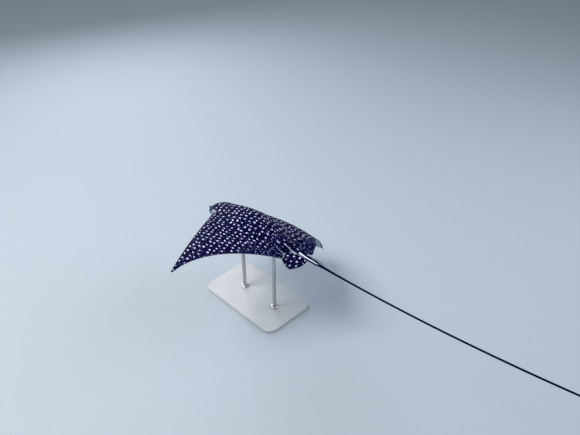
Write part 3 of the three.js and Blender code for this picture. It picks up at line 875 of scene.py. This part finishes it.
skinLooks = {
    "ground": (0.0004, 0.0009, 0.02, 1), "groundWarm": (0.0014, 0.0014, 0.034, 1),
    "spot": (0.62, 0.7, 1.0, 1), "spotWarm": (0.74, 0.66, 0.95, 1), "streak": (0.78, 0.84, 1.0, 1),
    # the near-black at the end of the next line is painted shade for the skin's hollows
    "belly": (0.5, 0.58, 0.66, 1), "bellyShade": (0.34, 0.42, 0.5, 1), "hollowShade": (0.01, 0.01, 0.022, 1),
    # cheek: slate for the side of the head, partly the skin's own grading and partly painted shade
    "snout": (0.075, 0.11, 0.19, 1), "cheek": (0.12, 0.17, 0.24, 1), "lip": (0.26, 0.33, 0.43, 1),
    "speck": (0.36, 0.42, 0.92, 1), "specular": 0.02, "refraction": 1.4,
    # layers of spots: those that show first, the streaks by the tail, dim ones and fine speckle
    "spots": {"perMetre": 30.5, "sizes": (0.125, 0.19), "turn": 0.36, "stretch": (1.08, 0.94, 1),
              "seed": 3.1, "wobble": 0.014, "loose": 0.42},
    "streaks": {"perMetre": 30.0, "sizes": (0.06, 0.12), "turn": 0.0, "stretch": (1.3, 0.42, 1),
                "seed": 1.7, "wobble": 0.012, "loose": 0.8},
    "dim": {"perMetre": 46.0, "sizes": (0.05, 0.15), "turn": 1.1, "stretch": (1, 1, 1), "seed": 7.3,
            "wobble": 0.008, "loose": 0.8},
    "specks": {"perMetre": 54.0, "sizes": (0.1, 0.24), "turn": 0.4, "stretch": (1, 1, 1), "seed": 11.9,
               "wobble": 0.006, "loose": 0.9},
    "softness": {"dim": 0.045, "specks": 0.02},
    "strength": {"spots": (0.78, 1.0), "streaks": 0.85, "dim": (0.08, 0.36), "specks": (0.15, 0.6)},
    "ringHole": 0.4, "ringDepth": 0.9, "wobbleScale": 46.0, "sizePower": 0.7,
    # where each change starts and ends: in metres on the map, from the rim or above the line, or
    # as a share of a mark or a noise
    "steps": {
        "fin": (0.0, -0.8), "fineBack": (0.6, 0.68), "fineOut": (0.05, 0.11), "fineRim": (0.13, 0.06),
        "smallFront": (0.06, 0.2, 0.75, 1.0), "smallRim": (0.004, 0.03, 0.6, 1.0),
        "ringed": (1.35, 1.45), "streaksOut": (0.1, 0.05), "streaksBack": (0.58, 0.66),
        "bareRear": (0.69, 0.715), "bareRim": (0.002, 0.007), "bareSnout": (0.085, 0.12),
        "bareTail": (0.86, 0.78), "warm": (0.35, 0.68), "snout": (0.078, 0.04), "drawn": (1.2, 1.9),
        "shade": (0.4, 0.75), "shadedCheekLine": (-0.05, -0.012), "shadedCheekRear": (0.17, 0.13),
        "shadedCheekFront": (0.05, 0.085), "lip": (0.065, 0.02), "line": (-0.0025, 0.0025), "hollowShade": (0.9, 0.2),
        "gloss": (0.3, 0.7, 0.42, 0.58),
    },
    "snoutGrain": (0.5, 1.0), "drawnGrain": 0.3, "lineGrain": 0.008,
    # noises: scale, detail and roughness
    "mottle": (9.0, 5.0, 0.6), "grain": (60.0, 4.0, 0.6), "gloss": (28.0, 4.0), "pores": (420.0, 2.0),
    "folds": (40.0, 4.0), "foldStretch": (1.0, 2.6, 1.0), "foldShare": 0.75, "relief": (0.35, 0.002),
    # pale lines on the shoulder, at the wings' inner rear corners and along the root of the tail:
    # from, to and half width, in metres out and back, and strength
    "lines": [((0.103, 0.143), (0.118, 0.184), 0.0042, 0.55), ((0.08, 0.686), (0.083, 0.716), 0.0016, 0.45),
              ((0.083, 0.716), (0.088, 0.742), 0.0018, 0.5), ((0.038, 0.717), (0.033, 0.76), 0.0019, 0.5),
              ((0.033, 0.76), (0.0255, 0.79), 0.001, 0.45), ((0.0255, 0.79), (0.0205, 0.815), 0.0008, 0.45),
              ((0.0205, 0.815), (0.0164, 0.862), 0.0006, 0.45)],
}


def spotLayer(flat, perMetre, sizes, turn, stretch, seed, wobble, loose):
    # rounded spots on a loose grid: how far from a spot's middle, its size, its three chances
    mapping = addNode("Mapping", {"Vector": flat, "Location": (seed, seed * 0.7, 0),
                                        "Rotation": (0, 0, turn), "Scale": stretch})[0]
    shift = noise(mapping, skinLooks["wobbleScale"], 1.0, output="Color")
    shift = vectorMath("SUBTRACT", shift, (0.5, 0.5, 0.5))
    shift = vectorMath("MULTIPLY", shift, (wobble, wobble, 0.0))
    cells = addNode("TexVoronoi", {"Vector": vectorMath("ADD", mapping, shift),
                                         "Scale": perMetre, "Randomness": loose},
                    voronoi_dimensions="2D", feature="F1")
    chance = addNode("SeparateXYZ", {0: cells["Color"]})
    size = mixNumber(calc("POWER", chance[0], skinLooks["sizePower"]), *sizes)
    return cells["Distance"], size, chance


def discOf(size, distance, soft=0.02):
    return stepUp(calc("SUBTRACT", size, distance), -soft, soft)


def paleLine(flat, start, end, half):
    # 1 on a straight line drawn on the map, 0 away from it
    run = Vector(end) - Vector(start)
    along = (*run.normalized(), 0)
    local = vectorMath("SUBTRACT", flat, (*start, 0))
    reach = vectorMath("DOT_PRODUCT", local, along, output="Value")
    reach = addNode("Clamp", {0: reach, 1: 0.0, 2: run.length})[0]
    nearest = addNode("VectorMath", {0: along, 3: reach}, operation="SCALE")[0]
    away = vectorMath("DISTANCE", local, nearest, output="Value")
    return stepUp(away, half, half * 0.4)


def buildSkin():
    looks = skinLooks
    material, tree, shader = newMaterial("wetSkin")
    strength = looks["strength"]

    def step(name, value):
        return stepUp(value, *looks["steps"][name])
    out, back, rings = attribute(tree, "chart")
    line, rim, mark = attribute(tree, "tone")
    onFin = step("fin", attribute(tree, "spot")[1])
    onBody = invert(onFin)
    flat = pair(out, back)
    aside = calc("ABSOLUTE", out)
    solid = objectPlace(tree)

    # behind the wings' roots the spots break up into fine dim speckle
    fine = times(step("fineBack", back), step("fineOut", aside), step("fineRim", rim), onBody)

    # main spots, with dark centres where the rings are
    distance, size, chance = spotLayer(flat, **looks["spots"])
    small = times(step("smallFront", back), step("smallRim", rim), invert(fine))
    size = times(size, small)
    hole = discOf(times(size, looks["ringHole"]), distance)
    ringed = times(hole, step("ringed", calc("ADD", rings, chance[1])))
    spots = times(discOf(size, distance), invert(times(ringed, looks["ringDepth"])),
                  mixNumber(chance[1], *strength["spots"]))

    # towards the tail root the spots draw out into short streaks along the back
    far, long, _ = spotLayer(flat, **looks["streaks"])
    middle = times(step("streaksOut", aside), step("streaksBack", back), onBody)
    spots = mixNumber(middle, spots, times(discOf(long, far), strength["streaks"]))

    # small dim spots between the others
    dim = []
    for name, soft in looks["softness"].items():
        far, tiny, luck = spotLayer(flat, **looks[name])
        dim.append(times(discOf(tiny, far, soft), mixNumber(luck[1], *strength[name])))
    spots = calc("MAXIMUM", spots, mixNumber(fine, *dim))
    clear = calc("MAXIMUM", step("bareRim", rim), times(step("bareRear", back), onBody))
    clear = times(clear, step("bareSnout", back), calc("MAXIMUM", step("bareTail", back), onFin))
    spots = times(spots, clear)

    mottle, grain = (noise(solid, *looks[name]) for name in ("mottle", "grain"))
    ground = mixColour(step("warm", mottle), looks["ground"], looks["groundWarm"])
    front = times(step("snout", back), mixNumber(grain, *looks["snoutGrain"]))
    ground = mixColour(front, ground, looks["snout"])
    pale = mixColour(chance[2], looks["spot"], looks["spotWarm"])
    pale = mixColour(fine, pale, looks["speck"])
    backColour = mixColour(spots, ground, pale)
    drawn = step("drawn", roughen(mark, grain, looks["drawnGrain"]))
    mirrored = pair(aside, back)
    for start, end, half, shown in looks["lines"]:
        painted = times(paleLine(mirrored, start, end, half), shown, onBody)
        drawn = calc("MAXIMUM", drawn, painted)
    backColour = mixColour(drawn, backColour, looks["streak"])

    belly = mixColour(step("shade", mottle), looks["belly"], looks["bellyShade"])
    # the cheeks are painted slate just under the dark line, partly the skin's own fading from dark back to
    # white belly and partly painted shade on the side of the head, and pale out to the snout's edge
    cheek = times(step("shadedCheekLine", line), step("shadedCheekRear", back), step("shadedCheekFront", back))
    belly = mixColour(cheek, belly, looks["cheek"])
    belly = mixColour(step("lip", back), belly, looks["lip"])
    isBack = step("line", roughen(line, grain, looks["lineGrain"]))
    colour = mixColour(isBack, belly, backColour)
    # painted shade: the hollows of the eyes, spiracles, mouth, gills, nostrils and vent turn near-black
    colour = mixColour(step("hollowShade", mark), colour, looks["hollowShade"])

    pores = noise(solid, *looks["pores"])
    folds = vectorMath("MULTIPLY", flat, looks["foldStretch"])
    folds = times(noise(folds, *looks["folds"]), looks["foldShare"])
    height = calc("ADD", times(pores, 1 - looks["foldShare"]), folds)
    feed(shader, {
        "Base Color": colour, "Roughness": step("gloss", noise(solid, *looks["gloss"])),
        "IOR": looks["refraction"], "Specular IOR Level": looks["specular"],
        "Normal": relief(height, *looks["relief"])})
    return material


skin.data.materials.clear()
skin.data.materials.append(buildSkin())
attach(skin, "root")
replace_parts(skin, "head", "snout", "trunk", "wing_left", "wing_right", "pelvic_fin_left", "pelvic_fin_right",
            "dorsal_fin", "tail_base", "tail_front", "tail_middle", "tail_rear", "tail_tip")
print("skin coloured")


eyeLooks = {
    "iris": (0.01, 0.008, 0.008, 1), "rim": (0.012, 0.01, 0.012, 1), "pupil": (0.002, 0.002, 0.003, 1),
    "irisEnd": (0.68, 0.76), "pupilEnd": (0.1, 0.13), "pupilFlat": 0.55, "pupilPeak": 0.1,
    "fleck": 900.0, "roughness": (0.2, 0.8, 0.05, 0.12), "coat": 0.25, "coatRoughness": 0.03,
    "specular": 0.22, "relief": (0.05, 0.0005), "segments": 40, "rings": 24, "cornea": 0.05,
}


def eyeMaterial():
    looks = eyeLooks
    material, tree, shader = newMaterial("wetEye")
    _, high, rear = attribute(tree, "gaze")
    fleck = noise(objectPlace(tree), looks["fleck"])
    # a flattened pupil that is drawn up at its top
    wide = calc("ADD", times(high, high), times(rear, rear, looks["pupilFlat"]))
    peak = times(stepUp(high, 0.0, 0.5), looks["pupilPeak"])
    pastPupil = stepUp(calc("SUBTRACT", wide, peak), *looks["pupilEnd"])
    iris = mixColour(fleck, looks["iris"], looks["rim"])
    inside = mixColour(pastPupil, looks["pupil"], iris)
    radial = calc("SQRT", calc("ADD", times(high, high), times(rear, rear)))
    feed(shader, {
        "Base Color": mixColour(stepUp(radial, *looks["irisEnd"]), inside, looks["rim"]),
        "Roughness": stepUp(fleck, *looks["roughness"]), "Coat Weight": looks["coat"],
        "Coat Roughness": looks["coatRoughness"], "Specular IOR Level": looks["specular"],
        "Normal": relief(fleck, *looks["relief"])})
    return material


def buildEye(side, name, material):
    centre, look, up, back = eyeAxes(side)
    radius = head["eye"]["radius"]
    bm = bmesh.new()
    bmesh.ops.create_uvsphere(bm, u_segments=eyeLooks["segments"], v_segments=eyeLooks["rings"],
                              radius=radius)
    gaze = bm.verts.layers.float_vector.new("gaze")
    for vert in bm.verts:
        x, y, z = vert.co / radius
        cornea = 1 + eyeLooks["cornea"] * max(z, 0) ** 8
        vert[gaze] = (z, x, y)
        vert.co = centre + (up * x + back * y + look * z * cornea) * radius
    piece = makePiece(bm, name, material)
    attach(piece, "root")
    return piece


glassEye = eyeMaterial()
for side, name in ((-1, "left"), (1, "right")):
    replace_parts(buildEye(side, "eyeball_" + name, glassEye), "eye_" + name)
print("eyes made")


stings = {
    "sting_upper": {"from": 0.045, "length": 0.074, "lift": 0.0125, "rise": 0.045},
    "sting_lower": {"from": 0.066, "length": 0.07, "lift": 0.0088, "rise": 0.03},
    "halfWidth": 0.0031, "halfThickness": 0.0016, "teeth": 24, "perTooth": 6, "across": 10,
    "toothDeep": 0.16, "toothFrom": (0.12, 0.3), "ridge": (0.35, 0.22), "point": 0.42, "blunt": 14,
    "neck": 0.86, "neckLength": 0.3,
    "sheath": ((0.004, 0.004, 0.012, 1), (0.016, 0.014, 0.026, 1)),
    "bare": ((0.05, 0.045, 0.05, 1), (0.13, 0.12, 0.11, 1)), "bareFrom": (0.55, 1.0),
    "streak": (6.0, 4.0), "streakStretch": (3.0, 2.0), "ragged": 0.2, "grain": 700.0,
    "roughness": (0.2, 0.8, 0.42, 0.62), "relief": (0.3, 0.0006),
}


def stingSheet(shape, top):
    rows = stings["teeth"] * stings["perTooth"]
    u = np.linspace(0, 1, rows + 1)[:, None]
    v = np.linspace(-1, 1, stings["across"] + 1)[None, :]
    root = rounded(u * stings["blunt"]) * mix(stings["neck"], 1.0, smooth(0, stings["neckLength"], u))
    taper = root * (1 - u) ** stings["point"]
    phase = (u * stings["teeth"]) % 1
    tooth = 1 - stings["toothDeep"] * phase * smooth(*stings["toothFrom"], u)
    across = stings["halfWidth"] * taper * tooth * v
    ridge = 1 - stings["ridge"][0] * bump(v, stings["ridge"][1])
    thick = stings["halfThickness"] * taper ** 0.6 * rounded(1 - v * v) * (ridge if top else 1)
    w = shape["from"] + shape["length"] * u + 0 * v
    up = shape["lift"] + shape["rise"] * (w - shape["from"]) + (thick if top else -thick)
    points = tailPoint(w, across + 0 * up, up)
    return layGrid(points, {"along": np.stack([u + 0 * v, v + 0 * u, 0 * up], -1)})


def stingMaterial():
    material, tree, shader = newMaterial("stingDentine")
    along, across, _ = attribute(tree, "along")
    stretched = [times(*both) for both in zip((along, across), stings["streakStretch"])]
    streak = noise(pair(*stretched), *stings["streak"])
    sheath, bare = (mixColour(streak, *stings[name]) for name in ("sheath", "bare"))
    bared = stepUp(calc("ADD", along, times(streak, stings["ragged"])), *stings["bareFrom"])
    grain = noise(objectPlace(tree), stings["grain"])
    feed(shader, {
        "Base Color": mixColour(bared, sheath, bare),
        "Roughness": stepUp(streak, *stings["roughness"]),
        "Normal": relief(grain, *stings["relief"])})
    return material


dentine = stingMaterial()
for name in ("sting_upper", "sting_lower"):
    bm = weld([stingSheet(stings[name], top) for top in (True, False)])
    bmesh.ops.holes_fill(bm, edges=openEdges(bm), sides=0)
    print(name, "open", len(openEdges(bm)))
    piece = makePiece(bm, name.replace("sting_", "serrated_sting_"), dentine)
    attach(piece, "root")
    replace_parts(piece, name)
print("stings made")


stand = {
    "length": 0.64, "width": 0.38, "thickness": 0.022, "corner": 0.06, "edge": 0.003,
    "rods": {"front": 0.215, "rear": 0.42}, "rod": 0.012, "intoBelly": 0.008,
    # the collar at a rod's foot: radius and height above the base
    "collar": [(0.023, 0), (0.024, 0.001), (0.024, 0.009), (0.022, 0.011), (0.02, 0.012),
               (0.0132, 0.012), (0.012, 0.0135)],
    "satinPaint": {"colours": ((0.5, 0.51, 0.52, 1), (0.46, 0.47, 0.48, 1)), "metallic": 0.0,
                   "roughness": (0.25, 0.75, 0.42, 0.56), "stretch": (1.0, 1.0, 1.0), "grain": 520.0},
    "brushedSteel": {"colours": ((0.55, 0.55, 0.56, 1), (0.48, 0.48, 0.49, 1)), "metallic": 1.0,
                     "roughness": (0.25, 0.75, 0.26, 0.4), "stretch": (1.0, 1.0, 26.0), "grain": 38.0},
    "cloud": 7.0, "cloudSpan": (0.3, 0.7), "relief": (0.18, 0.0006), "creases": (25, 35),
}


def roundBar(bm, x, y, sections):
    # a turned shape from (radius, height) pairs
    turned = [bm.verts.new((x + radius, y, z)) for radius, z in sections]
    edges = [bm.edges.new(ends) for ends in zip(turned, turned[1:])]
    bmesh.ops.spin(bm, geom=turned + edges, cent=(x, y, 0), axis=(0, 0, 1), angle=2 * math.pi, steps=48,
                   use_merge=True)


def standMaterial(name):
    looks = stand[name]
    material, tree, shader = newMaterial(name)
    solid = objectPlace(tree)
    stretched = addNode("Mapping", {"Vector": solid, "Scale": looks["stretch"]})[0]
    grain = noise(stretched, looks["grain"], 4.0)
    cloud = stepUp(noise(solid, stand["cloud"], 4.0), *stand["cloudSpan"])
    feed(shader, {
        "Base Color": mixColour(cloud, *looks["colours"]), "Metallic": looks["metallic"],
        "Roughness": stepUp(grain, *looks["roughness"]),
        "Normal": relief(grain, *stand["relief"])})
    return material


def bevelEdges(bm, edges, offset, segments):
    bmesh.ops.bevel(bm, geom=edges, offset=offset, offset_type="OFFSET", affect="EDGES",
                    segments=segments, profile=0.5, material=-1)


def buildStand():
    painted, steel = standMaterial("satinPaint"), standMaterial("brushedSteel")
    bm = bmesh.new()
    bmesh.ops.create_cube(bm, size=1)
    bmesh.ops.scale(bm, verts=bm.verts, vec=(stand["width"], stand["length"], stand["thickness"]))
    bmesh.ops.translate(bm, verts=bm.verts, vec=(0, 0, stand["thickness"] / 2))
    upright = [e for e in bm.edges if abs(e.verts[0].co.z - e.verts[1].co.z) > 0.01]
    bevelEdges(bm, upright, stand["corner"], 16)
    level = [e for e in bm.edges if all(v.co.z > stand["thickness"] - 1e-5 for v in e.verts)
             and len(e.link_faces) == 2]
    bevelEdges(bm, level, stand["edge"], 4)
    base = makePiece(bm, "stand_plate", painted, stand["creases"][0])
    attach(base, "root")
    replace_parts(base, "stand_base")
    for name, at in stand["rods"].items():
        y = (ray["middle"] - at) * width
        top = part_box("stand_rod_" + name)[1][2]
        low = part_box("stand_rod_" + name)[0][2]
        tip = top + stand["intoBelly"]
        bm = bmesh.new()
        roundBar(bm, 0, y, [(0, low)] + [(radius, low + up) for radius, up in stand["collar"]]
                 + [(stand["rod"], tip), (0, tip)])
        bmesh.ops.remove_doubles(bm, verts=bm.verts, dist=1e-6)
        piece = makePiece(bm, "support_rod_" + name, steel, stand["creases"][1])
        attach(piece, "root")
        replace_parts(piece, "stand_rod_" + name)


buildStand()
print("stand made")


studio = {
    "camera": (-1.9499, -2.2282, 2.7261), "heading": 0.7934, "dip": 0.6129, "lens": 36.93,
    "sensor": 36, "sight": 200, "world": (0.72, 0.8, 0.92, 1), "worldStrength": 0.4,
    "floor": 60.0, "floorCloud": 30.0,
    "floorColour": (0.4, 0.45, 0.5, 1), "floorRoughness": (0.2, 0.8, 0.75, 0.85),
    "aim": (0, 0, 0.55),
    # lights: place, size, power and colour
    "lights": {"key": ((-3.2, 1.2, 5.2), 2.6, 330, (1.0, 0.98, 0.95)),
               "fill": ((3.4, -3.0, 3.6), 3.5, 110, (0.86, 0.92, 1.0)),
               "rear": ((1.5, 4.5, 3.2), 3.0, 120, (0.9, 0.95, 1.0))},
}


def buildCamera():
    camera = bpy.data.objects.new("camera", bpy.data.cameras.new("camera"))
    bpy.context.scene.collection.objects.link(camera)
    turn, dip = studio["heading"], studio["dip"]
    right = Vector((math.cos(turn), -math.sin(turn), 0))
    forward = Vector((math.sin(turn) * math.cos(dip), math.cos(turn) * math.cos(dip), -math.sin(dip)))
    rotation = Matrix((right, right.cross(forward), -forward)).transposed()
    camera.matrix_world = Matrix.Translation(studio["camera"]) @ rotation.to_4x4()
    camera.data.lens = studio["lens"]
    camera.data.sensor_width = studio["sensor"]
    camera.data.sensor_fit = "HORIZONTAL"
    camera.data.clip_end = studio["sight"]
    bpy.context.scene.camera = camera
    bpy.context.scene.view_settings.view_transform = "Standard"


def buildFloor():
    bm = bmesh.new()
    bmesh.ops.create_grid(bm, x_segments=8, y_segments=8, size=studio["floor"] / 2)
    floor = toObject(bm, "floor")
    material, tree, shader = newMaterial("paleFloor")
    cloud = noise(objectPlace(tree), studio["floorCloud"])
    feed(shader, {"Base Color": studio["floorColour"],
                        "Roughness": stepUp(cloud, *studio["floorRoughness"])})
    floor.data.materials.append(material)


def buildLights():
    world = bpy.data.worlds.new("studio")
    bpy.context.scene.world = world
    world.use_nodes = True
    world.node_tree.nodes["Background"].inputs[0].default_value = studio["world"]
    world.node_tree.nodes["Background"].inputs[1].default_value = studio["worldStrength"]
    for name, (at, size, power, colour) in studio["lights"].items():
        light = bpy.data.lights.new(name, "AREA")
        light.size, light.energy, light.color = size, power, colour
        lamp = bpy.data.objects.new(name, light)
        turn = (Vector(studio["aim"]) - Vector(at)).to_track_quat("-Z", "Y")
        lamp.matrix_world = Matrix.Translation(at) @ turn.to_matrix().to_4x4()
        bpy.context.scene.collection.objects.link(lamp)


buildCamera()
buildFloor()
buildLights()
print("studio lit")

bpy.context.view_layer.update()
